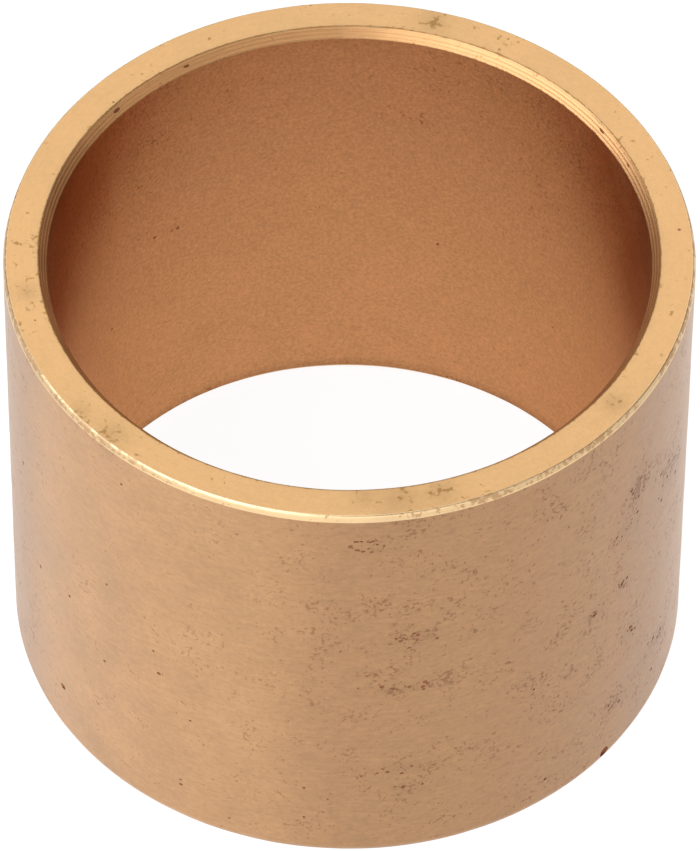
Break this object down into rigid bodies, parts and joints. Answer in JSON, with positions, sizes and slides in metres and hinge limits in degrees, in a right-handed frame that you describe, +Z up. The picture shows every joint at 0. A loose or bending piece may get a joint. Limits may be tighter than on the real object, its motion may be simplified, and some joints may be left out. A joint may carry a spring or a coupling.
{
  "type": "sleeve bushing",
  "caption": "Plain cylindrical bronze sleeve bushing: a one-piece turned ring with a smooth through bore that carries a shaft.",
  "frame": {"origin": "on the bore's axis, at the lower end face that the bushing stands on", "axes": "+Z up along the bore's axis; the bushing is round, so +X and +Y are any pair square to it"},
  "size_m": [0.04, 0.04, 0.0305],
  "materials": {
    "bronze": "turned cast bronze, satin, lightly pitted and tarnished"
  },
  "bodies": {
    "root": {"sleeve": "bronze"}
  },
  "joints": []
}
